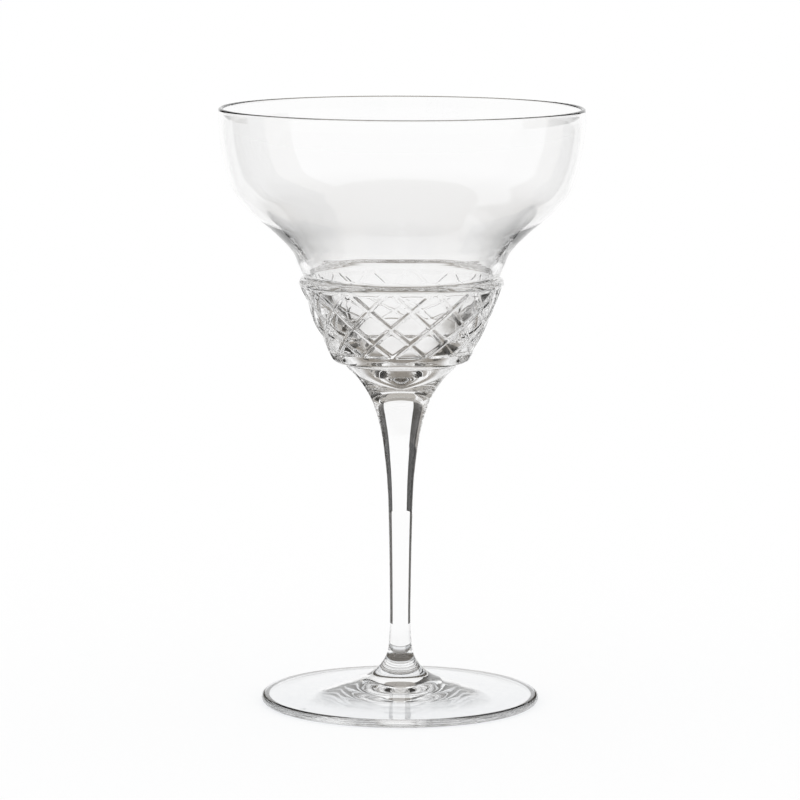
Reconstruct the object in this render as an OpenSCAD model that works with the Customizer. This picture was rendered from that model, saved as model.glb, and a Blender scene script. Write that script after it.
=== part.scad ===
// Margarita glass: a wide bell on a cup moulded with a lattice of diamonds, a drawn stem and a spun foot.
// The origin is the centre of the ring that the foot stands on, and +Z is up.

/* [Bell] */
// Outside diameter at the widest level, just under the lip
bell_d = 109.8; // [96:0.2:124]
// Height of the bell, from the top of the bead to the lip
bell_h = 50.9; // [42:0.1:60]
// Thickness of the lip
lip_t = 1.3; // [1:0.1:2]
// Wall of the bell where it narrows to the neck
neck_t = 2.1; // [1.6:0.1:3]

/* [Cup] */
// Outside diameter of the neck, where the bell meets the bead
neck_d = 58.6; // [52:0.2:66]
// Height of the moulded cup, from its lower edge to the top of the bead
cup_h = 26; // [22:0.5:32]
// Outside diameter of the cup at its lower edge
cup_low_d = 42.4; // [38:0.2:48]
// Wall of the cup under the bead
cup_t = 3.4; // [3:0.1:4.5]
// Wall of the cup low down, where the cavity's floor starts
cup_low_t = 8; // [6:0.1:9]
// Radius of the round bead at the top of the cup
bead_r = 1.5; // [1:0.1:2]
// Height of the solid base under the cup, down to the stem
base_h = 13.1; // [10:0.1:17]
// Thickness of the solid glass between the cavity and the stem
floor_t = 8.5; // [6:0.5:10]

/* [Lattice] */
// Number of diamonds round the cup
diamonds = 14; // [10:1:18]
// Width of one rib where it leaves the cup
rib_w = 1.9; // [1.2:0.1:2.4]
// Width of one rib along its top
rib_top_w = 0.5; // [0.3:0.1:0.8]
// Height of the ribs, the bead and the border over the diamonds
rib_h = 0.55; // [0.3:0.05:0.9]
// Turn of the lattice about the stem
lattice_turn = -6.6; // [-12:0.1:12]

/* [Stem] */
// Length of the stem, from the seam on the foot to the base of the cup
stem_l = 71.8; // [50:0.1:95]
// Diameter where the stem meets the base of the cup
stem_top_d = 16.2; // [13:0.2:20]
// Diameter of the stem at its slimmest
stem_d = 6.3; // [5:0.1:8]

/* [Foot] */
// Diameter of the foot
foot_d = 84; // [72:0.5:96]
// Height of the stub that carries the stem
foot_h = 18.2; // [14:0.1:24]
// Thickness of the foot at its round edge
edge_t = 2.5; // [2:0.1:3.5]
// Diameter of the boss between the stub and the disc
boss_d = 15.2; // [13:0.2:20]
// Height of the boss above the table
boss_h = 9.4; // [7.5:0.1:11]
// Width of the flat ring that the foot stands on
ring_w = 1.2; // [0.8:0.1:3]
// Height of the shallow hollow under the foot
hollow_h = 3.3; // [1:0.1:4]

/* [Hidden] */
glass_colour = [0.93, 0.95, 0.96];

// Levels of the seams, the cup and the lip
joint_z = foot_h + stem_l;
cup_z = joint_z + base_h;
neck_z = cup_z + cup_h;
lip_z = neck_z + bell_h;

// Radii worked out from the diameters
bell_r = bell_d / 2;
neck_r = neck_d / 2;
cup_low_r = cup_low_d / 2;
joint_r = stem_top_d / 2;
stem_r = stem_d / 2;
boss_r = boss_d / 2;
foot_r = foot_d / 2;

// Points drawn between two stations of an outline
curve_steps = 4;
// Points of the cup's side between its borders
side_steps = 12;
// Points of a small round corner
round_steps = 6;
// Facets of a full turn
turn_steps = 180;

// Stations of the bell: share of its height, share of the way from the neck out to the widest level
bell_shares = [
    [0, 0], [0.075, 0.06], [0.151, 0.129], [0.273, 0.355], [0.401, 0.656],
    [0.5, 0.81], [0.607, 0.898], [0.77, 0.973], [0.921, 1], [0.98, 0.996]
];
// Stations of the cup: share of its height, share of the way from its lower edge out to the neck
cup_shares = [[0.096, 0], [0.35, 0.41], [0.5, 0.65], [0.7, 0.88], [0.885, 1.12]];
// Stations of the solid base: share of its height, share of the way from the joint out to the cup
base_shares = [[0, 0], [0.13, 0.05], [0.31, 0.14], [0.53, 0.28], [0.76, 0.465], [0.9, 0.61], [1, 0.7]];
// Stations of the stem: share of its length, share of the way from its slimmest out to its top
stem_shares = [
    [0, 0.055], [0.04, 0.012], [0.09, 0], [0.24, 0.018], [0.42, 0.06], [0.6, 0.135], [0.7, 0.21],
    [0.8, 0.36], [0.87, 0.5], [0.93, 0.69], [0.97, 0.85], [1, 1]
];
// Stations of the stub: share of the way from the boss up to the seam, share of the way from the seam out to the boss
stub_shares = [[0, 1], [0.12, 0.73], [0.3, 0.43], [0.52, 0.185], [0.77, 0.05], [1, 0]];
// Stations of the disc: share of the way from the boss out to the edge, share of the drop from the boss to the edge
disc_shares = [[0, 0], [0.04, 0.16], [0.12, 0.36], [0.25, 0.54], [0.45, 0.72], [0.7, 0.875], [1, 1]];
// Heights between which the diamonds lie, and the height of the slope at their lower border, as shares of the cup
diamonds_low_share = 0.16;
diamonds_high_share = 0.885;
border_slope_share = 0.02;
// The cavity's side follows the cup down to this share of its height, and its round floor starts there
floor_start_share = 0.25;
// Pull of the cavity's side and floor on the corner between them, which leaves the floor nearly a cone
floor_side_share = 0.6;
floor_flat_share = 0.12;
// Pull of the rounding at the cup's lower edge, and its lift, as shares of the step between cup and base
edge_pull_share = 0.7;
edge_lift_share = 0.25;
// Points that pull the hollow under the foot, as shares of its radius, and the height of the outer one
hollow_in_share = 0.15;
hollow_out_share = 0.6;
hollow_low_share = 0.4;

// Slope of a smooth curve through stations [x, y] at station i
function chord(s, i) = (s[i + 1][1] - s[i][1]) / (s[i + 1][0] - s[i][0]);
function inner_slope(s, i) =
    let (before = s[i][0] - s[i - 1][0], after = s[i + 1][0] - s[i][0])
    (chord(s, i - 1) * after + chord(s, i) * before) / (before + after);
function slope(s, i) =
    i == 0 ? (3 * chord(s, 0) - inner_slope(s, 1)) / 2
    : i == len(s) - 1 ? (3 * chord(s, i - 1) - inner_slope(s, i - 1)) / 2
    : inner_slope(s, i);

// Height of the curve at x between station i and the next
function span_at(s, i, x) =
    let (w = s[i + 1][0] - s[i][0], t = (x - s[i][0]) / w)
    (1 + 2 * t) * (1 - t) * (1 - t) * s[i][1] + t * (1 - t) * (1 - t) * w * slope(s, i)
    + t * t * (3 - 2 * t) * s[i + 1][1] + t * t * (t - 1) * w * slope(s, i + 1);
function span_of(s, x, i = 0) = i >= len(s) - 2 || x <= s[i + 1][0] ? i : span_of(s, x, i + 1);
function curve_at(s, x) = span_at(s, span_of(s, x), x);
// Slope of the curve at x, taken over a hundredth of its first span
function slope_at(s, x) =
    let (dx = (s[1][0] - s[0][0]) / 100)
    (curve_at(s, x + dx) - curve_at(s, x - dx)) / (2 * dx);
function curve(s, steps = curve_steps) = [
    for (i = [0 : len(s) - 2], j = [0 : steps - 1])
        let (x = s[i][0] + (s[i + 1][0] - s[i][0]) * j / steps) [x, span_at(s, i, x)],
    s[len(s) - 1]
];

// Stations given as shares, laid out between two levels and two radii, as [height, radius]
function laid(shares, z0, z1, r0, r1) = [for (p = shares) [z0 + p[0] * (z1 - z0), r0 + p[1] * (r1 - r0)]];
// Points as [radius, height], and the same points in the other order
function outward(points) = [for (p = points) [p[1], p[0]]];
function backward(points) = [for (i = [len(points) - 1 : -1 : 0]) points[i]];
// Round arc of points as [radius, height]
function arc(centre, r, from, to) = [
    for (i = [0 : round_steps])
        let (a = from + (to - from) * i / round_steps) centre + r * [cos(a), sin(a)]
];
// Smooth corner from a to d, pulled towards b and c
function corner(a, b, c, d, steps) = [
    for (i = [0 : steps])
        let (t = i / steps, u = 1 - t)
        u * u * u * a + 3 * u * u * t * b + 3 * u * t * t * c + t * t * t * d
];

// Outsides, as stations [height, radius]. The cup's line is the one that the tops of the ribs follow
bell_line = laid(bell_shares, neck_z, lip_z, neck_r, bell_r);
cup_line = laid(cup_shares, cup_z, neck_z, cup_low_r, neck_r);
base_line = laid(base_shares, joint_z, cup_z, joint_r, cup_low_r);
stem_line = laid(stem_shares, foot_h, joint_z, stem_r, joint_r);
seam_r = stem_line[0][1];
stub_line = laid(stub_shares, boss_h, foot_h, seam_r, boss_r);
disc_line = laid(disc_shares, boss_r, foot_r - edge_t / 2, boss_h, edge_t);

// The bead is a round bar that stands half out of the neck
bead_z = neck_z - bead_r;
bead_from = -30;
bead_to = 80;

// The cavity: the bell's wall thins evenly from the neck to the lip, and the cup's wall thickens evenly downwards
function bell_wall(z) = neck_t + (lip_t - neck_t) * min((z - neck_z) / (bell_h / 2), 1);
bell_cavity = [for (p = curve(bell_line)) [p[0], p[1] - bell_wall(p[0])]];
floor_start_z = cup_z + floor_start_share * cup_h;
function cup_wall(z) = cup_t + (cup_low_t - cup_t) * (bead_z - z) / (bead_z - floor_start_z);
cup_cavity_line = [
    [floor_start_z, curve_at(cup_line, floor_start_z) - cup_low_t],
    for (i = [1 : len(cup_line) - 2]) [cup_line[i][0], cup_line[i][1] - cup_wall(cup_line[i][0])],
    [bead_z, neck_r - (neck_t + cup_t) / 2],
    bell_cavity[0]
];
floor_z = joint_z + floor_t;
side_r = cup_cavity_line[0][1];
floor_drop = (floor_start_z - floor_z) * floor_side_share;
floor_corner = corner(
    [side_r, floor_start_z],
    [side_r - floor_drop * slope(cup_cavity_line, 0), floor_start_z - floor_drop],
    [side_r * floor_flat_share, floor_z],
    [0, floor_z],
    2 * round_steps
);
lip_line = bell_line[len(bell_line) - 1];
lip_r = lip_t / 2;
lip_centre = [lip_line[1] - lip_r, lip_z - lip_r];

// The step under the cup: from the solid base, round the lower edge, to the cup's side
base_top_r = base_line[len(base_line) - 1][1];
side_z = cup_line[0][0];
edge_h = side_z - cup_z;
cup_edge = corner(
    [base_top_r, cup_z],
    [base_top_r + (cup_low_r - base_top_r) * edge_pull_share, cup_z + edge_h * edge_lift_share],
    [cup_low_r - edge_h * edge_pull_share * slope(cup_line, 0), side_z - edge_h * edge_pull_share],
    [cup_low_r, side_z],
    round_steps
);

// The cup's side: the smooth border over the lower edge, and the diamonds, which lie under the ribs by their height
diamonds_low_z = cup_z + diamonds_low_share * cup_h;
diamonds_high_z = cup_z + diamonds_high_share * cup_h;
border_top_z = diamonds_low_z - border_slope_share * cup_h;
cup_side = concat(
    [[cup_low_r, side_z], [curve_at(cup_line, border_top_z), border_top_z]],
    [
        for (i = [0 : side_steps])
            let (z = diamonds_low_z + (diamonds_high_z - diamonds_low_z) * i / side_steps)
            [curve_at(cup_line, z) - rib_h, z]
    ]
);

bowl_outline = concat(
    [[0, joint_z]],
    outward(curve(base_line)),
    [for (i = [1 : round_steps - 1]) cup_edge[i]],
    cup_side,
    arc([neck_r, bead_z], bead_r, bead_from, bead_to),
    [for (p = outward(curve(bell_line))) if (p[1] > neck_z && p[1] < lip_centre[1]) p],
    arc(lip_centre, lip_r, 0, 180),
    [for (p = backward(outward(bell_cavity))) if (p[1] > neck_z && p[1] < lip_centre[1]) p],
    [for (p = backward(outward(curve(cup_cavity_line)))) if (p[1] > floor_start_z) p],
    floor_corner
);

// One rib follows the cup from inside the bead into the border, and turns by half a diamond in each row
half_turn = 180 / diamonds;
// Heights of the rows in which the ribs cross, as shares of the cup
row_shares = [[0, 0.942], [1, 0.71], [2, 0.5], [3, 0.31], [4, 0.145]];
// Rows between which a rib runs
first_row = 0.05;
last_row = 4.1;
rib_steps = 9;
// How far a rib reaches into the wall
rib_root = rib_h;
// How far the tops of the two families lie under the line that the border follows, as shares of a rib's height
over_sunk_share = 0.08;
under_sunk_share = 0.24;

// Point at a row of the rib, moved out of the glass by d and across the rib by e
function rib_point(row, hand, d, e) =
    let (
        z = cup_z + cup_h * curve_at(row_shares, row),
        r = curve_at(cup_line, z),
        lean = norm([1, slope_at(cup_line, z)]),
        drop = -cup_h * slope_at(row_shares, row) * lean,
        run = hand * half_turn * r * PI / 180,
        across = [drop, run] / norm([drop, run]),
        a = hand * half_turn * row + e * across[0] / r * 180 / PI,
        up = (e * across[1] - d * slope_at(cup_line, z)) / lean,
        out = (e * across[1] * slope_at(cup_line, z) + d) / lean
    )
    [(r + out) * sin(a), -(r + out) * cos(a), z + up];

module rib(hand, sunk) {
    root_w = rib_top_w + (rib_w - rib_top_w) * (rib_h + rib_root) / rib_h;
    section = [
        [-rib_h - rib_root, root_w / 2], [-sunk, rib_top_w / 2],
        [-sunk, -rib_top_w / 2], [-rib_h - rib_root, -root_w / 2]
    ];
    ring = len(section);
    points = [
        for (i = [0 : rib_steps], p = section)
            rib_point(first_row + (last_row - first_row) * i / rib_steps, hand, p[0], p[1])
    ];
    sides = [
        for (i = [0 : rib_steps - 1], j = [0 : ring - 1])
            let (a = i * ring + j, b = i * ring + (j + 1) % ring)
            each [[a, b + ring, b], [a, a + ring, b + ring]]
    ];
    last = rib_steps * ring;
    polyhedron(points, concat([[0, 1, 2], [0, 2, 3]], sides,
        [[last, last + 2, last + 1], [last, last + 3, last + 2]]));
}

module bowl() {
    color(glass_colour)
    union() {
        rotate_extrude($fn = turn_steps) polygon(bowl_outline);
        for (i = [0 : diamonds - 1])
            rotate(lattice_turn + i * 2 * half_turn) rib(-1, over_sunk_share * rib_h);
        for (i = [0 : diamonds - 1])
            rotate(lattice_turn + i * 2 * half_turn) rib(1, under_sunk_share * rib_h);
    }
}

module stem() {
    color(glass_colour)
    rotate_extrude($fn = turn_steps)
        polygon(concat([[0, foot_h]], outward(curve(stem_line)), [[0, joint_z]]));
}

module foot() {
    edge_r = edge_t / 2;
    ring_out = foot_r - edge_r;
    ring_in = ring_out - ring_w;
    color(glass_colour)
    rotate_extrude($fn = turn_steps)
        polygon(concat(
            corner(
                [0, hollow_h],
                [ring_in * hollow_in_share, hollow_h],
                [ring_in * hollow_out_share, hollow_h * hollow_low_share],
                [ring_in, 0],
                2 * round_steps
            ),
            arc([ring_out, edge_r], edge_r, -90, 90),
            backward([for (p = curve(disc_line)) if (p[0] < ring_out) p]),
            [for (p = outward(curve(stub_line))) if (p[1] > boss_h) p],
            [[0, foot_h]]
        ));
}

bowl();
stem();
foot();
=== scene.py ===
"""Dresses a stemmed margarita glass in clear glass and sets it in a white photographic studio.

Bowl, stem and foot are three gathers of glass that were fused hot. Each is one closed mesh that takes the
place of its solid in the frame. Where two of them are fused the glass goes on without a boundary, so those
faces are clear.
"""

import logging
import math
from collections.abc import Callable, Sequence
from dataclasses import dataclass, field
from enum import Enum

import bmesh
import bpy
from mathutils import Matrix, Vector


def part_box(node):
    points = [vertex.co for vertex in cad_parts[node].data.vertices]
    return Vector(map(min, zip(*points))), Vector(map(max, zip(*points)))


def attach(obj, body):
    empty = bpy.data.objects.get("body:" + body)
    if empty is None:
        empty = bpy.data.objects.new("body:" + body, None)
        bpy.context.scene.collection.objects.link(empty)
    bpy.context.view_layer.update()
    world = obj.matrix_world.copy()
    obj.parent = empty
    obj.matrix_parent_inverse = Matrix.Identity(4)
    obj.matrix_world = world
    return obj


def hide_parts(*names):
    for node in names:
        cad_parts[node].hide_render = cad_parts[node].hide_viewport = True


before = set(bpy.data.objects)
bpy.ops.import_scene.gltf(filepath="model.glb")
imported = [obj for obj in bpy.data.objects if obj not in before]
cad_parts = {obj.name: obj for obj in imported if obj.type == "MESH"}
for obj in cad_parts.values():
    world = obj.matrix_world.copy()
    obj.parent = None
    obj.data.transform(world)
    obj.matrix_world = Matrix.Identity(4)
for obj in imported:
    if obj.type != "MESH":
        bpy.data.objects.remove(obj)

logging.basicConfig(level=logging.INFO, format="%(message)s")
LOG = logging.getLogger("glass")

MM = 0.001
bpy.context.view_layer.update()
# Heights closer than this are one height, and radii below this lie on the axis, in metres
SAME_HEIGHT = 1e-6
ON_AXIS = 1e-9
# A line's slope is measured over one of this many parts of its first span
SLOPE_PARTS = 100

# A point (height, radius) of a line, or (radius, height) once it goes into an outline
Station = tuple[float, float]
# From radius, height and azimuth to a depth, and the direction of the surface's normal as (outward, up)
Relief = Callable[[float, float, float], tuple[float, float, float]]


class Hand(Enum):
    """The two ways in which the ribs of the lattice wind round the cup."""

    LEFT = -1
    RIGHT = 1


class Skin(Enum):
    """Material slots of a piece of glass."""

    POLISHED = 0
    FUSED = 1


def linear(hex_colour: str) -> tuple[float, float, float, float]:
    """Turns an sRGB hex colour into the linear values that Blender's shaders take.

    The numbers in it are those of the sRGB standard.

    Args:
        hex_colour: Six hex digits after a #.

    Returns:
        Red, green, blue and an alpha of 1.
    """
    channels = [int(hex_colour[i : i + 2], 16) / 255 for i in (1, 3, 5)]
    return (*(c / 12.92 if c <= 0.04045 else ((c + 0.055) / 1.055) ** 2.4 for c in channels), 1.0)


def add_node(
    tree: bpy.types.NodeTree,
    kind: str,
    links: dict[str | int, bpy.types.NodeSocket] | None = None,
    **settings: object,
) -> bpy.types.Node:
    """Adds a shader node with its settings and its input links.

    Args:
        tree: The node tree that the node goes into.
        kind: The node's class name.
        links: Input name or index to the output socket that feeds it.
        **settings: Attributes of the node, or values of its inputs under their names with _ for a space.

    Returns:
        The new node.
    """
    node = tree.nodes.new(kind)
    for name, value in settings.items():
        if hasattr(node, name):
            setattr(node, name, value)
        else:
            node.inputs[name.replace("_", " ")].default_value = value
    for target, source in (links or {}).items():
        tree.links.new(source, node.inputs[target])
    return node


def new_tree(name: str) -> tuple[bpy.types.Material, bpy.types.NodeTree]:
    """Makes an empty node material.

    Args:
        name: Name of the material.

    Returns:
        The material and its node tree.
    """
    material = bpy.data.materials.new(name)
    material.use_nodes = True
    material.node_tree.nodes.clear()
    return material, material.node_tree


@dataclass(frozen=True)
class ClearGlass:
    """Clear soda-lime glass, shaped hot and then fire-polished.

    To the eye it has no colour of its own: it shows the studio, bent and mirrored, with sharp bright and
    dark edges wherever it is thick or turns away.

    Attributes:
        name: Name of the material.
        tint: Colour that the glass leaves in the light, as sRGB hex.
        ior: Refractive index of soda-lime glass.
        wave_mm: Length of the faint waves that forming leaves in the surface.
        wave_depth_mm: Height of those waves.
        wave_detail: Finer waves laid over them, in octaves.
        wave_roughness: Share of each finer octave.
    """

    name: str
    tint: str = "#FDFDFD"
    ior: float = 1.52
    wave_mm: float = 14.0
    wave_depth_mm: float = 0.004
    wave_detail: float = 1.0
    wave_roughness: float = 0.4

    def material(self) -> bpy.types.Material:
        """Makes the glass.

        It has no roughness, a trace of grey, and waves too low to see except in what it reflects.

        Returns:
            The material.
        """
        material, tree = new_tree(self.name)
        place = add_node(tree, "ShaderNodeTexCoord")
        wave = add_node(tree, "ShaderNodeTexNoise", {"Vector": place.outputs["Object"]},
                        Scale=1 / (self.wave_mm * MM), Detail=self.wave_detail,
                        Roughness=self.wave_roughness)
        bump = add_node(tree, "ShaderNodeBump", {"Height": wave.outputs["Fac"]},
                        Strength=1.0, Distance=self.wave_depth_mm * MM)
        glass = add_node(tree, "ShaderNodeBsdfPrincipled", {"Normal": bump.outputs["Normal"]},
                         Base_Color=linear(self.tint), Roughness=0.0, IOR=self.ior,
                         Transmission_Weight=1.0)
        add_node(tree, "ShaderNodeOutputMaterial", {"Surface": glass.outputs["BSDF"]})
        return material


@dataclass(frozen=True)
class FusedSeam:
    """The face where two gathers of glass were fused.

    No boundary is left there, so to the eye there is nothing: light goes straight through.

    Attributes:
        name: Name of the material.
        clear: Colour of the light that it lets through, as sRGB hex.
    """

    name: str = "fused_seam"
    clear: str = "#FFFFFF"

    def material(self) -> bpy.types.Material:
        """Makes the seam's face clear.

        Returns:
            The material.
        """
        material, tree = new_tree(self.name)
        clear = add_node(tree, "ShaderNodeBsdfTransparent", Color=linear(self.clear))
        add_node(tree, "ShaderNodeOutputMaterial", {"Surface": clear.outputs["BSDF"]})
        return material


@dataclass(frozen=True)
class PaintedSheenFloor:
    """Grey sheet, which the glass stands on, with a painted sheen.

    A glow that grows as the sheet turns edge on to the eye is a painted sheen: it paints the sheet white at
    a low angle, as if it mirrored the dome, and leaves it greyer from above. Its own grey takes the shadow
    of the glass.

    Attributes:
        name: Name of the material.
        grey: Its own colour under the painted sheen, as sRGB hex.
        dull: How far it turns from the eye before the painted sheen starts, from 0, face on, to 1, edge on.
        bright: How far it has turned when the painted sheen is full.
        blend: Layer Weight's blend, where 0.5 leaves that turn as it is.
    """

    name: str = "grey_floor_with_painted_sheen"
    grey: str = "#938D85"
    dull: float = 0.34
    bright: float = 0.6
    blend: float = 0.5

    def seen(self, tree: bpy.types.NodeTree) -> bpy.types.NodeSocket:
        """Marks the rays that see the painted sheen.

        Args:
            tree: The node tree of the sheet.

        Returns:
            A socket that is 1 for rays from the camera and for those that glass reflects or lets through.
        """
        path = add_node(tree, "ShaderNodeLightPath")
        total = path.outputs["Is Camera Ray"]
        for name in ("Is Glossy Ray", "Is Transmission Ray"):
            both = add_node(tree, "ShaderNodeMath", {0: total, 1: path.outputs[name]}, operation="MAXIMUM")
            total = both.outputs[0]
        return total

    def material(self) -> bpy.types.Material:
        """Makes the sheet: a matt grey, lifted to white by a painted sheen, a glow that Layer Weight's
        Facing sets.

        Returns:
            The material.
        """
        material, tree = new_tree(self.name)
        grey = linear(self.grey)
        body = add_node(tree, "ShaderNodeBsdfDiffuse", Color=grey)
        # Painted sheen: Layer Weight's Facing sets a glow that paints the sheet white at a low angle and
        # greyer from above
        facing = add_node(tree, "ShaderNodeLayerWeight", Blend=self.blend)
        sheen = add_node(tree, "ShaderNodeMapRange", {"Value": facing.outputs["Facing"]},
                         From_Min=self.dull, From_Max=self.bright, interpolation_type="SMOOTHSTEP")
        seen = self.seen(tree)
        lift = add_node(tree, "ShaderNodeMath", {0: seen, 1: sheen.outputs["Result"]}, operation="MULTIPLY")
        rest = tuple(1 - c for c in grey[:3])
        glow = add_node(tree, "ShaderNodeEmission", {"Strength": lift.outputs[0]}, Color=(*rest, 1))
        both = add_node(tree, "ShaderNodeAddShader", {0: body.outputs[0], 1: glow.outputs[0]})
        add_node(tree, "ShaderNodeOutputMaterial", {"Surface": both.outputs[0]})
        return material


@dataclass(frozen=True)
class PanelCloth:
    """Matt studio cloth, evenly lit.

    To the eye it is one flat grey with no shading, so each panel puts one plain tone into the glass.

    Attributes:
        name: Name of the material.
        grey: Its colour, as sRGB hex.
        strength: How bright it is, where 1 renders the colour as it is written.
    """

    name: str
    grey: str
    strength: float

    def material(self) -> bpy.types.Material:
        """Makes the cloth.

        Returns:
            The material.
        """
        material, tree = new_tree(self.name)
        cloth = add_node(tree, "ShaderNodeEmission", Color=linear(self.grey), Strength=self.strength)
        add_node(tree, "ShaderNodeOutputMaterial", {"Surface": cloth.outputs[0]})
        return material


class SmoothLine:
    """A smooth curve through stations, with the slopes of the parabolas through three neighbours."""

    def __init__(self, stations: list[Station]) -> None:
        """Keeps the stations and works out the slope at each.

        Args:
            stations: Three points or more, in rising order.
        """
        self.stations = stations
        chords = [(b[1] - a[1]) / (b[0] - a[0]) for a, b in zip(stations, stations[1:])]
        spans = [b[0] - a[0] for a, b in zip(stations, stations[1:])]
        inner = [
            (chords[i - 1] * spans[i] + chords[i] * spans[i - 1]) / (spans[i - 1] + spans[i])
            for i in range(1, len(chords))
        ]
        self.slopes = [(3 * chords[0] - inner[0]) / 2, *inner, (3 * chords[-1] - inner[-1]) / 2]

    def at(self, x: float) -> float:
        """Works out the value of the curve.

        Args:
            x: Place along the curve, which may lie a little past its ends.

        Returns:
            The value there.
        """
        last = len(self.stations) - 2
        i = next((k for k in range(last) if x <= self.stations[k + 1][0]), last)
        (x0, y0), (x1, y1) = self.stations[i], self.stations[i + 1]
        w = x1 - x0
        t = (x - x0) / w
        return (
            (1 + 2 * t) * (1 - t) ** 2 * y0 + t * (1 - t) ** 2 * w * self.slopes[i]
            + t * t * (3 - 2 * t) * y1 + t * t * (t - 1) * w * self.slopes[i + 1]
        )

    def slope(self, x: float) -> float:
        """Slope of the curve at x."""
        dx = (self.stations[1][0] - self.stations[0][0]) / SLOPE_PARTS
        return (self.at(x + dx) - self.at(x - dx)) / (2 * dx)

    def points(self, steps: int) -> list[Station]:
        """Lists points along the curve.

        Args:
            steps: Points to each span between two stations.

        Returns:
            The points, with the last station at the end.
        """
        out: list[Station] = []
        for (x0, _), (x1, _) in zip(self.stations, self.stations[1:]):
            places = [x0 + (x1 - x0) * j / steps for j in range(steps)]
            out += [(x, self.at(x)) for x in places]
        return [*out, self.stations[-1]]


def eased(x: float) -> float:
    """Smooth step from 0 at x = 0 to 1 at x = 1, and level past both."""
    x = min(max(x, 0.0), 1.0)
    return x * x * (3 - 2 * x)


def laid(shares: Sequence[Station], z0: float, z1: float, r0: float, r1: float) -> list[Station]:
    """Lays stations given as shares out between two levels and two radii."""
    return [(z0 + z * (z1 - z0), r0 + r * (r1 - r0)) for z, r in shares]


def outward(points: Sequence[Station]) -> list[Station]:
    """Swaps each (height, radius) for (radius, height), or back."""
    return [(b, a) for a, b in points]


def arc(centre: Station, radius: float, start: float, end: float, steps: int) -> list[Station]:
    """Points of a round arc, with its angles in degrees."""
    angles = [math.radians(start + (end - start) * i / steps) for i in range(steps + 1)]
    return [(centre[0] + radius * math.cos(a), centre[1] + radius * math.sin(a)) for a in angles]


def corner(points: tuple[Station, Station, Station, Station], steps: int) -> list[Station]:
    """Draws a smooth corner.

    Args:
        points: Where it starts, the two points that pull it, and where it ends.
        steps: Steps along it.

    Returns:
        Its points, with both ends.
    """
    out = []
    for i in range(steps + 1):
        t = i / steps
        weights = ((1 - t) ** 3, 3 * (1 - t) ** 2 * t, 3 * (1 - t) * t * t, t ** 3)
        out.append(tuple(sum(w * p[k] for w, p in zip(weights, points)) for k in (0, 1)))
    return out


def turned(
    name: str, outline: list[Station], columns: int, relief: Relief | None = None
) -> bpy.types.Object:
    """Turns an outline about the stem's axis into a closed mesh.

    Args:
        name: Name of the piece.
        outline: Points (radius, height) in metres, from the axis at one end round the glass to the axis at
            the other.
        columns: Points in a full turn.
        relief: Says how far the surface is cut back at each point, or None for a plain surface.

    Returns:
        The piece, with its smooth faces and no material yet.
    """
    mesh = bpy.data.meshes.new(name)
    work = bmesh.new()
    turns = [2 * math.pi * c / columns for c in range(columns)]
    rings = []
    for r, z in outline:
        if r < ON_AXIS:
            rings.append([work.verts.new((0, 0, z))])
            continue
        ring = []
        for a in turns:
            cut, out, up = relief(r, z, a) if relief else (0, 0, 0)
            rr = r - cut * out
            ring.append(work.verts.new((rr * math.sin(a), -rr * math.cos(a), z - cut * up)))
        rings.append(ring)
    for low, high in zip(rings, rings[1:]):
        for c in range(columns):
            d = (c + 1) % columns
            quad = [low[c % len(low)], low[d % len(low)], high[d % len(high)], high[c % len(high)]]
            corners = [v for i, v in enumerate(quad) if v is not quad[i - 1]]
            work.faces.new(corners).smooth = True
    bmesh.ops.recalc_face_normals(work, faces=work.faces)
    work.to_mesh(mesh)
    work.free()
    piece = bpy.data.objects.new(name, mesh)
    bpy.context.collection.objects.link(piece)
    return piece


def dress(piece: bpy.types.Object, node: str, finish: ClearGlass, seams: tuple[float, ...]) -> None:
    """Gives a piece its glass, clears its fused faces, and ties it to the frame.

    Args:
        piece: The piece of glass.
        node: The solid that it takes the place of.
        finish: What it is made of.
        seams: Heights in metres of the flat faces where it is fused to its neighbours.
    """
    piece.data.materials.append(finish.material())
    piece.data.materials.append(bpy.data.materials.get(FusedSeam.name) or FusedSeam().material())
    heights = [v.co.z for v in piece.data.vertices]

    def on_seam(corners: Sequence[int]) -> bool:
        """Says whether all these vertices lie on one seam."""
        return any(all(abs(heights[v] - z) < SAME_HEIGHT for v in corners) for z in seams)

    for face in piece.data.polygons:
        flat = on_seam(face.vertices)
        face.material_index = Skin.FUSED.value if flat else Skin.POLISHED.value
        face.use_smooth = not flat
    for edge in piece.data.edges:
        edge.use_edge_sharp = on_seam(edge.vertices)
    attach(piece, "root")
    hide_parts(node)
    low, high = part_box(node)
    LOG.info("%s: %d faces, solid from z %.1f to %.1f mm", piece.name, len(piece.data.polygons),
             low[2] / MM, high[2] / MM)


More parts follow.
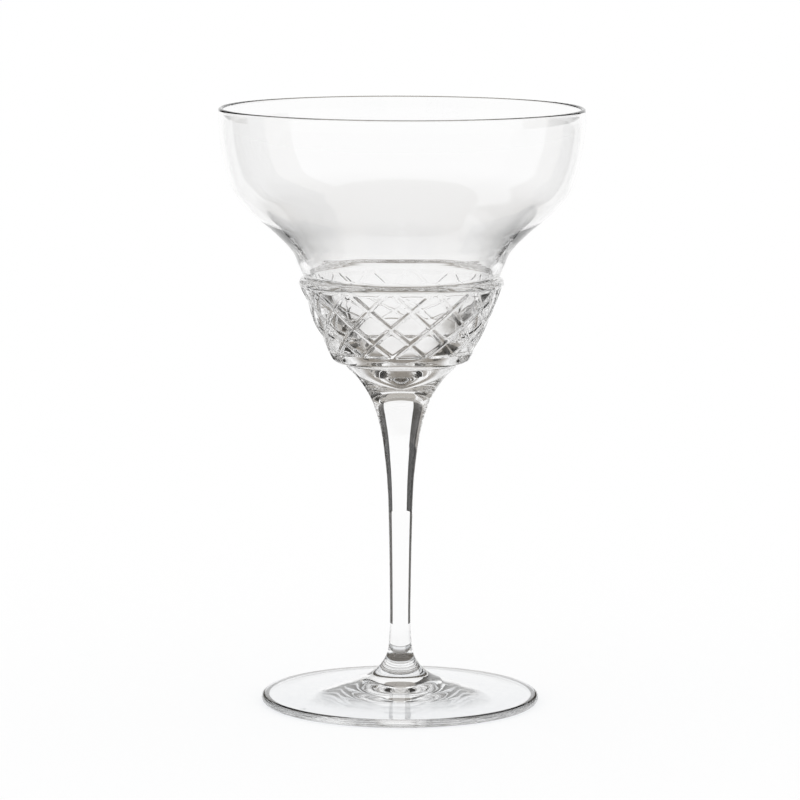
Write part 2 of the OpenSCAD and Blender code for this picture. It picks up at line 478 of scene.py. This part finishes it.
@dataclass
class Lattice:
    """The ribs that are moulded on the cup: two families that wind against each other round sunk diamonds.

    Attributes:
        diamonds: Diamonds round the cup.
        width: Width of a rib where it leaves the diamonds, in metres.
        top_share: Share of that width over which a rib stays at its full height.
        height: Height of the border over the diamonds, in metres.
        turn: Turn of the whole lattice about the stem, in degrees.
        crown: How far the middle of a diamond swells, in metres.
        swell_power: Power at which the swell rises from a rib to that middle, where 1 is straight.
        sunk_shares: How far the ribs of each hand lie under the border, as shares of its height.
        row_shares: Rows in which the ribs cross, and their heights as shares of the cup.
        low_share: Height of the diamonds' lower border, as a share of the cup.
        high_share: Height of their upper border, as a share of the cup.
        slope_share: Height of the slope at each border, as a share of the cup.
    """

    diamonds: int = 14
    width: float = 1.9 * MM
    top_share: float = 0.12
    height: float = 0.55 * MM
    turn: float = -6.6
    crown: float = 0.08 * MM
    swell_power: float = 0.5
    sunk_shares: tuple[tuple[Hand, float], ...] = ((Hand.LEFT, 0.08), (Hand.RIGHT, 0.24))
    row_shares: tuple[Station, ...] = ((0, 0.942), (1, 0.71), (2, 0.5), (3, 0.31), (4, 0.145))
    low_share: float = 0.15
    high_share: float = 0.9
    slope_share: float = 0.02

    @property
    def half_turn(self) -> float:
        """Azimuth from one row's crossing to the next row's, in radians."""
        return math.pi / self.diamonds

    def rib(self, gap: float) -> float:
        """Height of a rib as a share of its full height, at a distance from its middle."""
        return 1 - eased((gap / (self.width / 2) - self.top_share) / (1 - self.top_share))

    def cut(self, row: float, share: float, azimuth: float, across: float, down: float) -> float:
        """Works out how far the surface lies under the border's line at a point of the cup.

        Args:
            row: Row of the point, counted down from the bead.
            share: Its height as a share of the cup.
            azimuth: Its azimuth in radians.
            across: Width of half a diamond there, in metres.
            down: Height of a row there along the surface, in metres.

        Returns:
            The depth in metres.
        """
        place = (azimuth - math.radians(self.turn)) / self.half_turn
        reach = across * down / math.hypot(across, down)
        gaps = {hand: abs((place - hand.value * row + 1) % 2 - 1) for hand in Hand}
        ribs = max((1 - sunk) * self.rib(gaps[hand] * reach) for hand, sunk in self.sunk_shares)
        swell = self.crown * min(gaps.values()) ** self.swell_power
        over_low = (share - self.low_share) / self.slope_share
        under_high = (self.high_share - share) / self.slope_share
        return eased(min(over_low, under_high)) * (self.height * (1 - ribs) - swell * (1 - ribs))


@dataclass(frozen=True)
class Ring:
    """What all points of the cup at one height have in common.

    Attributes:
        row: Row of the lattice.
        share: Height as a share of the cup.
        across: Width of half a diamond, in metres.
        down: Height of a row along the surface, in metres.
        out: How far the surface's normal points outward.
        up: How far it points up.
    """

    row: float
    share: float
    across: float
    down: float
    out: float
    up: float


@dataclass
class Bowl:
    """The bell, its neck, the moulded cup with its bead and lattice, and the solid base.

    Attributes:
        neck_r: Outside radius of the neck, in metres, as all sizes here.
        cup_low_r: Outside radius of the cup at its lower edge.
        cup_h: Height of the cup from its lower edge to the top of its bead.
        base_h: Height of the solid base.
        cup_t: Wall of the cup under the bead.
        cup_low_t: Wall of the cup low down, where the cavity's floor starts.
        neck_t: Wall at the neck.
        lip_t: Thickness of the lip.
        bead_r: Radius of the bead.
        bead_span: Angles in degrees between which the bead stands out, from level with its middle.
        floor_t: Solid glass under the cavity.
        lattice: The ribs on the cup.
        bell_shares: Outside of the bell, from the neck to the lip.
        cup_shares: Outside of the cup over its lower edge.
        base_shares: Outside of the solid base, from the stem up.
        floor_start_share: Height at which the cavity's floor starts, as a share of the cup.
        floor_side_share: Pull of the cavity's side on the floor's corner.
        floor_flat_share: Pull of the floor's middle on it, which leaves the floor nearly a cone.
        edge_pull_share: Pull of the cup's side on its round lower edge.
        edge_lift_share: Lift of that edge over the base.
        columns: Points in a full turn.
        line_steps: Points to each span of the bell.
        side_steps: Points to each span of the cavity's side and of the base.
        edge_steps: Points round the cup's lower edge.
        lip_steps: Points round the lip.
        round_steps: Points round the bead and along the cavity's floor.
        lowest_row: Row of the lattice, counted down, at which the rings of the cup start.
        rings_per_row: Rings of points to each row of the lattice.
        rings: Rings from there up, of which those on the side of the cup are kept.
        row_limits: Rows between which a height of the cup is looked for.
        halvings: Times that this span is halved.
    """

    neck_r: float = 29.3 * MM
    cup_low_r: float = 21.2 * MM
    cup_h: float = 26.0 * MM
    base_h: float = 13.1 * MM
    cup_t: float = 3.4 * MM
    cup_low_t: float = 8.0 * MM
    neck_t: float = 2.1 * MM
    lip_t: float = 1.3 * MM
    bead_r: float = 1.5 * MM
    bead_span: tuple[float, float] = (-30, 80)
    floor_t: float = 8.5 * MM
    lattice: Lattice = field(default_factory=Lattice)
    bell_shares: tuple[Station, ...] = (
        (0, 0), (0.075, 0.06), (0.151, 0.129), (0.273, 0.355), (0.401, 0.656),
        (0.5, 0.81), (0.607, 0.898), (0.77, 0.973), (0.921, 1), (0.98, 0.996),
    )
    cup_shares: tuple[Station, ...] = ((0.096, 0), (0.35, 0.41), (0.5, 0.65), (0.7, 0.88), (0.885, 1.12))
    base_shares: tuple[Station, ...] = (
        (0, 0), (0.13, 0.05), (0.31, 0.14), (0.53, 0.28), (0.76, 0.465), (0.9, 0.61), (1, 0.7),
    )
    floor_start_share: float = 0.25
    floor_side_share: float = 0.6
    floor_flat_share: float = 0.12
    edge_pull_share: float = 0.7
    edge_lift_share: float = 0.25
    columns: int = 672
    line_steps: int = 5
    side_steps: int = 6
    edge_steps: int = 10
    lip_steps: int = 12
    round_steps: int = 20
    lowest_row: float = 4.4
    rings_per_row: int = 24
    rings: int = 110
    row_limits: tuple[float, float] = (-1.0, 6.0)
    halvings: int = 40

    def __post_init__(self) -> None:
        """Takes the levels and the bell's radius from the frame, and lays the lines out."""
        low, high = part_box("bowl")
        self.joint_z, self.lip_z, self.bell_r = low[2], high[2], high[0]
        self.joint_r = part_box("stem")[1][0]
        self.cup_z = self.joint_z + self.base_h
        self.neck_z = self.cup_z + self.cup_h
        self.bead_z = self.neck_z - self.bead_r
        bell = laid(self.bell_shares, self.neck_z, self.lip_z, self.neck_r, self.bell_r)
        cup = laid(self.cup_shares, self.cup_z, self.neck_z, self.cup_low_r, self.neck_r)
        base = laid(self.base_shares, self.joint_z, self.cup_z, self.joint_r, self.cup_low_r)
        self.bell, self.cup, self.base = SmoothLine(bell), SmoothLine(cup), SmoothLine(base)
        self.rows = SmoothLine(list(self.lattice.row_shares))
        self.known_rings: dict[Station, Ring | None] = {}

    def bell_wall(self, z: float) -> float:
        """Wall of the bell at a height: it thins evenly from the neck to half-way up."""
        way = min((z - self.neck_z) / ((self.lip_z - self.neck_z) / 2), 1)
        return self.neck_t + (self.lip_t - self.neck_t) * way

    def edge_line(self) -> list[Station]:
        """Draws the step under the cup.

        Returns:
            Points (radius, height) from the solid base, round the lower edge, to the cup's side.
        """
        base_r, side_z = self.base.stations[-1][1], self.cup.stations[0][0]
        height, pull = side_z - self.cup_z, self.edge_pull_share
        return corner((
            (base_r, self.cup_z),
            (base_r + (self.cup_low_r - base_r) * pull, self.cup_z + height * self.edge_lift_share),
            (self.cup_low_r - height * pull * self.cup.slopes[0], side_z - height * pull),
            (self.cup_low_r, side_z),
        ), self.edge_steps)

    def cavity_line(self) -> list[Station]:
        """Draws the inside.

        Returns:
            Points (radius, height) from the lip down to the middle of the cavity's floor.
        """
        bell = [(z, r - self.bell_wall(z)) for z, r in self.bell.points(self.line_steps)]
        start_z = self.cup_z + self.floor_start_share * self.cup_h
        thicker = (self.cup_low_t - self.cup_t) / (self.bead_z - start_z)
        side = SmoothLine([
            (start_z, self.cup.at(start_z) - self.cup_low_t),
            *((z, r - self.cup_t - thicker * (self.bead_z - z)) for z, r in self.cup.stations[1:-1]),
            (self.bead_z, self.neck_r - (self.neck_t + self.cup_t) / 2),
            bell[0],
        ])
        floor_z = self.joint_z + self.floor_t
        side_r, drop = side.stations[0][1], (start_z - floor_z) * self.floor_side_share
        floor = corner((
            (side_r, start_z),
            (side_r - drop * side.slopes[0], start_z - drop),
            (side_r * self.floor_flat_share, floor_z),
            (0.0, floor_z),
        ), self.round_steps)
        upper = [p for p in outward(bell) if self.neck_z < p[1] < self.lip_z - self.lip_t / 2]
        lower = [p for p in outward(side.points(self.side_steps)) if p[1] > start_z]
        return [*upper[::-1], *lower[::-1], *floor]

    def outline(self) -> list[Station]:
        """Draws the whole outline.

        Returns:
            Points (radius, height) from the middle of the face on the stem round to that of the cavity's
            floor.
        """
        lip_r = self.lip_t / 2
        lip_at = (self.bell.stations[-1][1] - lip_r, self.lip_z - lip_r)
        rows = [self.lowest_row - i / self.rings_per_row for i in range(self.rings)]
        heights = [self.cup_z + self.cup_h * self.rows.at(row) for row in rows]
        side_z, top_z = self.cup.stations[0][0], self.cup.stations[-1][0]
        bell = outward(self.bell.points(self.line_steps))
        return [
            (0.0, self.joint_z),
            *outward(self.base.points(self.side_steps)),
            *self.edge_line()[1:],
            *((self.cup.at(z), z) for z in heights if side_z < z < top_z),
            *arc((self.neck_r, self.bead_z), self.bead_r, *self.bead_span, self.round_steps),
            *(p for p in bell if self.neck_z < p[1] < lip_at[1]),
            *arc(lip_at, lip_r, 0, 180, self.lip_steps),
            *self.cavity_line(),
        ]

    def row_at(self, share: float) -> float:
        """Finds the row of the lattice at a height.

        Args:
            share: The height as a share of the cup.

        Returns:
            The row, counted down from the bead.
        """
        low, high = self.row_limits
        for _ in range(self.halvings):
            middle = (low + high) / 2
            low, high = (middle, high) if self.rows.at(middle) > share else (low, middle)
        return low

    def ring(self, r: float, z: float) -> Ring | None:
        """Works out what the points of one ring of the outline have in common, once for each ring.

        Args:
            r: Radius of the ring.
            z: Height of the ring.

        Returns:
            The ring, or None where it isn't on the outside of the cup.
        """
        if (r, z) not in self.known_rings:
            share = (z - self.cup_z) / self.cup_h
            on_cup = 0 < share < 1 and abs(r - self.cup.at(z)) < self.cup_t / 2
            ring = None
            if on_cup:
                row, slope = self.row_at(share), self.cup.slope(z)
                lean = math.hypot(1, slope)
                down = -self.rows.slope(row) * self.cup_h * lean
                ring = Ring(row, share, r * self.lattice.half_turn, down, 1 / lean, -slope / lean)
            self.known_rings[r, z] = ring
        return self.known_rings[r, z]

    def relief(self, r: float, z: float, azimuth: float) -> tuple[float, float, float]:
        """Cuts the lattice into the cup.

        Args:
            r: Radius of a point of the outline.
            z: Its height.
            azimuth: Its azimuth in radians.

        Returns:
            The depth of the cut, and the direction of the surface's normal as outward and up.
        """
        ring = self.ring(r, z)
        if ring is None:
            return 0.0, 0.0, 0.0
        return self.lattice.cut(ring.row, ring.share, azimuth, ring.across, ring.down), ring.out, ring.up

    def build(self) -> bpy.types.Object:
        """Builds the bowl and dresses it.

        Returns:
            The bowl.
        """
        piece = turned("bowl_glass", self.outline(), self.columns, self.relief)
        dress(piece, "bowl", ClearGlass("blown_and_moulded_glass"), (self.joint_z,))
        return piece


@dataclass
class Stem:
    """The drawn stem, solid from the foot's stub to the bowl's base.

    Attributes:
        waist_r: Radius at its slimmest, in metres.
        wave_mm: Length of the faint waves that drawing leaves in it.
        shares: Its outside, from the foot up, where a radius of 0 is the waist and 1 the top.
        columns: Points in a full turn.
        line_steps: Points to each span of its outside.
    """

    waist_r: float = 3.15 * MM
    wave_mm: float = 22.0
    shares: tuple[Station, ...] = (
        (0, 0.055), (0.04, 0.012), (0.09, 0), (0.24, 0.018), (0.42, 0.06), (0.6, 0.135), (0.7, 0.21),
        (0.8, 0.36), (0.87, 0.5), (0.93, 0.69), (0.97, 0.85), (1, 1),
    )
    columns: int = 160
    line_steps: int = 8

    @property
    def seam_r(self) -> float:
        """Radius of the seam on the foot, in metres."""
        return self.waist_r + self.shares[0][1] * (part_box("stem")[1][0] - self.waist_r)

    def build(self) -> bpy.types.Object:
        """Builds the stem and dresses it.

        Returns:
            The stem.
        """
        low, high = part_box("stem")
        line = SmoothLine(laid(self.shares, low[2], high[2], self.waist_r, high[0]))
        outline = [(0.0, low[2]), *outward(line.points(self.line_steps)), (0.0, high[2])]
        piece = turned("stem_glass", outline, self.columns)
        dress(piece, "stem", ClearGlass("drawn_glass", wave_mm=self.wave_mm), (low[2], high[2]))
        return piece


@dataclass
class Foot:
    """The spun foot: a low disc with a round edge, its boss, and the stub that carries the stem.

    Attributes:
        boss_r: Radius of the boss, in metres, as all sizes here.
        boss_h: Height of the boss above the table.
        edge_t: Thickness of the disc at its round edge.
        ring_w: Width of the flat ring that the foot stands on.
        hollow_h: Height of the hollow under the foot.
        hollow_in_share: Reach of the inner point that pulls the hollow, as a share of its radius.
        hollow_out_share: Reach of the outer one.
        hollow_low_share: Height of the outer one, as a share of the hollow.
        wave_mm: Length of the faint waves that spinning leaves in the disc, in millimetres.
        stub_shares: Outside of the stub, from the boss up, where a radius of 1 is the boss and 0 the seam.
        disc_shares: Top of the disc, from the boss out, where a height of 0 is the boss and 1 the edge.
        columns: Points in a full turn.
        line_steps: Points to each span of stub and disc.
        edge_steps: Points round the edge.
        hollow_steps: Points along the hollow.
    """

    boss_r: float = 7.6 * MM
    boss_h: float = 9.4 * MM
    edge_t: float = 2.5 * MM
    ring_w: float = 1.2 * MM
    hollow_h: float = 3.3 * MM
    hollow_in_share: float = 0.15
    hollow_out_share: float = 0.6
    hollow_low_share: float = 0.4
    wave_mm: float = 18.0
    stub_shares: tuple[Station, ...] = (
        (0, 1), (0.12, 0.73), (0.3, 0.43), (0.52, 0.185), (0.77, 0.05), (1, 0),
    )
    disc_shares: tuple[Station, ...] = (
        (0, 0), (0.04, 0.16), (0.12, 0.36), (0.25, 0.54), (0.45, 0.72), (0.7, 0.875), (1, 1),
    )
    columns: int = 256
    line_steps: int = 8
    edge_steps: int = 20
    hollow_steps: int = 40

    def hollow(self, ring_in: float) -> list[Station]:
        """Draws the hollow under the foot.

        Args:
            ring_in: Radius at which it meets the ring that the foot stands on.

        Returns:
            Points (radius, height) from its middle out to the ring.
        """
        return corner((
            (0.0, self.hollow_h),
            (ring_in * self.hollow_in_share, self.hollow_h),
            (ring_in * self.hollow_out_share, self.hollow_h * self.hollow_low_share),
            (ring_in, 0.0),
        ), self.hollow_steps)

    def build(self, stem: Stem) -> bpy.types.Object:
        """Builds the foot under a stem and dresses it.

        Args:
            stem: The stem that it carries, which sets the radius of its seam.

        Returns:
            The foot.
        """
        _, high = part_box("foot")
        top, out = high[2], high[0]
        edge_r = self.edge_t / 2
        ring_out = out - edge_r
        stub = SmoothLine(laid(self.stub_shares, self.boss_h, top, stem.seam_r, self.boss_r))
        disc = SmoothLine(laid(self.disc_shares, self.boss_r, ring_out, self.boss_h, self.edge_t))
        outline = [
            *self.hollow(ring_out - self.ring_w),
            *arc((ring_out, edge_r), edge_r, -90, 90, self.edge_steps),
            *[p for p in disc.points(self.line_steps) if p[0] < ring_out][::-1],
            *[p for p in outward(stub.points(self.line_steps)) if p[1] > self.boss_h],
            (0.0, top),
        ]
        piece = turned("foot_glass", outline, self.columns)
        dress(piece, "foot", ClearGlass("spun_glass", wave_mm=self.wave_mm), (top,))
        return piece


@dataclass(frozen=True)
class Panel:
    """A board or a soft box that stands round the glass, as a patch of a sphere about it.

    Attributes:
        name: Name of the panel.
        left: Azimuth of its left edge in degrees, counted from straight behind the glass towards its right.
        right: Azimuth of its right edge.
        low: Elevation of its lower edge in degrees.
        high: Elevation of its upper edge.
        grey: Its colour, as sRGB hex.
        strength: How bright it is.
        distance: Its distance from the glass in metres.
    """

    name: str
    left: float
    right: float
    low: float
    high: float
    grey: str
    strength: float = 1.0
    distance: float = 2.2

    def points(self, centre_z: float, steps: int) -> list[tuple[float, float, float]]:
        """Lays out the points of the patch.

        Args:
            centre_z: Height of the sphere's centre, in metres.
            steps: Steps along each side.

        Returns:
            Rows of points, from the lower edge up.
        """
        centre = Vector((0, 0, centre_z))
        turns = [math.radians(self.left + (self.right - self.left) * i / steps) for i in range(steps + 1)]
        rows: list[tuple[float, float, float]] = []
        for j in range(steps + 1):
            up = math.radians(self.low + (self.high - self.low) * j / steps)
            rows += [(math.cos(up) * math.sin(a), math.cos(up) * math.cos(a), math.sin(up)) for a in turns]
        return [(Vector(p) * self.distance + centre).to_tuple() for p in rows]


@dataclass
class Studio:
    """A white floor, a white dome, black boards and soft boxes that the glass reflects, and the camera.

    Attributes:
        floor_size: Length of each side of the floor, in metres.
        floor_finish: What the floor is made of.
        panel_centre_z: Height about which the panels stand, in metres.
        panel_steps: Steps along each side of a panel.
        pixels: Width of the photograph.
        focal_pixels: Focal length in those pixels.
        sensor_mm: Width of the camera's sensor.
        camera_distance: How far the camera stands in front of the glass, in metres.
        camera_height: Its height above the floor, in metres.
        camera_pitch: How far it looks down, in radians.
        camera_side: How far it stands to the right, in metres.
        camera_roll: How far it is rolled about its own view, in degrees.
        camera_reach: How far it sees, in metres.
        glass_bounces: Times that light is followed on through glass.
        glossy_bounces: Times that it is followed on from reflections.
        clear_bounces: Clear faces, such as fused seams, that it is followed through.
        panels: The boards and soft boxes.
    """

    floor_size: float = 24.0
    floor_finish: PaintedSheenFloor = PaintedSheenFloor()
    panel_centre_z: float = 0.1
    panel_steps: int = 24
    pixels: int = 800
    focal_pixels: float = 4330.0
    sensor_mm: float = 36.0
    camera_distance: float = 1.2919
    camera_height: float = 0.2674
    camera_pitch: float = 0.135
    camera_side: float = -0.0003
    camera_roll: float = 0.2
    camera_reach: float = 100.0
    glass_bounces: int = 32
    glossy_bounces: int = 16
    clear_bounces: int = 64
    panels: tuple[Panel, ...] = (
        # A bright window behind the glass gives the clear white middle of bell and stem
        Panel("window", -20, 31, -8, 32, "#FFFFFF"),
        # Black boards beside it give the dark accents in the shoulders and in the lattice
        Panel("left_board", -46, -20, -0.5, 45, "#3E3C39"),
        Panel("right_board", 31, 76, -0.5, 60, "#34322F"),
        # Grey walls and ceilings give the soft greys of the bell and the cup
        Panel("left_wall", -68, -46, -0.5, 45, "#A8A49F"),
        Panel("right_wall", 76, 100, -0.5, 60, "#C0BCB6"),
        Panel("ceiling_behind", -46, 31, 32, 60, "#A8A49F"),
        Panel("ceiling", -180, 180, 60, 89, "#B8B4AE"),
        # A soft box behind the camera gives the pale reflections on the front
        Panel("front_box", 100, 260, -8, 60, "#FFFFFF", 1.1),
        # Black flags close to the glass give the dark bands and the thin dark edges of the stem
        Panel("left_flag", -60, -20, -27, -8, "#1E1D1B", distance=0.12),
        Panel("right_flag", 30, 76, -27, -8, "#1E1D1B", distance=0.12),
        Panel("left_low_flag", -70, -38, -50, -27, "#4A4844", distance=0.12),
        Panel("right_low_flag", 35, 80, -50, -27, "#4A4844", distance=0.12),
    )

    def camera(self) -> bpy.types.Object:
        """Sets the camera where the photograph was taken from.

        Returns:
            The camera.
        """
        data = bpy.data.cameras.new("camera")
        data.sensor_width = self.sensor_mm
        data.lens = self.focal_pixels / self.pixels * self.sensor_mm
        data.clip_end = self.camera_reach
        camera = bpy.data.objects.new("camera", data)
        bpy.context.collection.objects.link(camera)
        tilt = Matrix.Rotation(math.pi / 2 - self.camera_pitch, 4, "X")
        roll = Matrix.Rotation(math.radians(self.camera_roll), 4, "Z")
        place = Matrix.Translation(Vector((self.camera_side, -self.camera_distance, self.camera_height)))
        camera.matrix_world = place @ tilt @ roll
        bpy.context.scene.camera = camera
        return camera

    def floor(self) -> bpy.types.Object:
        """Lays the white sheet, which keeps the glass's shadow.

        Returns:
            The floor.
        """
        mesh = bpy.data.meshes.new("floor")
        half = self.floor_size / 2
        corners = [(-half, -half, 0), (half, -half, 0), (half, half, 0), (-half, half, 0)]
        mesh.from_pydata(corners, [], [(0, 1, 2, 3)])
        floor = bpy.data.objects.new("floor", mesh)
        bpy.context.collection.objects.link(floor)
        mesh.materials.append(self.floor_finish.material())
        return floor

    def dome(self) -> None:
        """Lights the set with an even white dome."""
        world = bpy.data.worlds.new("white_dome")
        world.use_nodes = True
        world.node_tree.nodes.clear()
        tree = world.node_tree
        light = add_node(tree, "ShaderNodeBackground", Color=(1, 1, 1, 1), Strength=1.0)
        add_node(tree, "ShaderNodeOutputWorld", {"Surface": light.outputs[0]})
        bpy.context.scene.world = world

    def stand(self, panel: Panel) -> bpy.types.Object:
        """Stands a panel round the glass, which alone sees it.

        Args:
            panel: The panel.

        Returns:
            Its object.
        """
        steps = self.panel_steps
        corners = [j * (steps + 1) + i for j in range(steps) for i in range(steps)]
        faces = [(k, k + 1, k + steps + 2, k + steps + 1) for k in corners]
        mesh = bpy.data.meshes.new(panel.name)
        mesh.from_pydata(panel.points(self.panel_centre_z, steps), [], faces)
        board = bpy.data.objects.new(panel.name, mesh)
        bpy.context.collection.objects.link(board)
        mesh.materials.append(PanelCloth(panel.name + "_cloth", panel.grey, panel.strength).material())
        board.visible_camera = False
        board.visible_diffuse = False
        board.visible_shadow = False
        return board

    def build(self) -> None:
        """Builds the studio."""
        self.camera()
        self.floor()
        self.dome()
        for panel in self.panels:
            self.stand(panel)
        scene = bpy.context.scene
        scene.view_settings.view_transform = "Standard"
        scene.cycles.max_bounces = self.glass_bounces
        scene.cycles.transmission_bounces = self.glass_bounces
        scene.cycles.glossy_bounces = self.glossy_bounces
        scene.cycles.transparent_max_bounces = self.clear_bounces


def main() -> None:
    """Builds the studio and the glass."""
    Studio().build()
    stem = Stem()
    for piece in (Bowl().build(), stem.build(), Foot().build(stem)):
        LOG.info("%s is in place", piece.name)


if __name__ == "__main__":
    main()
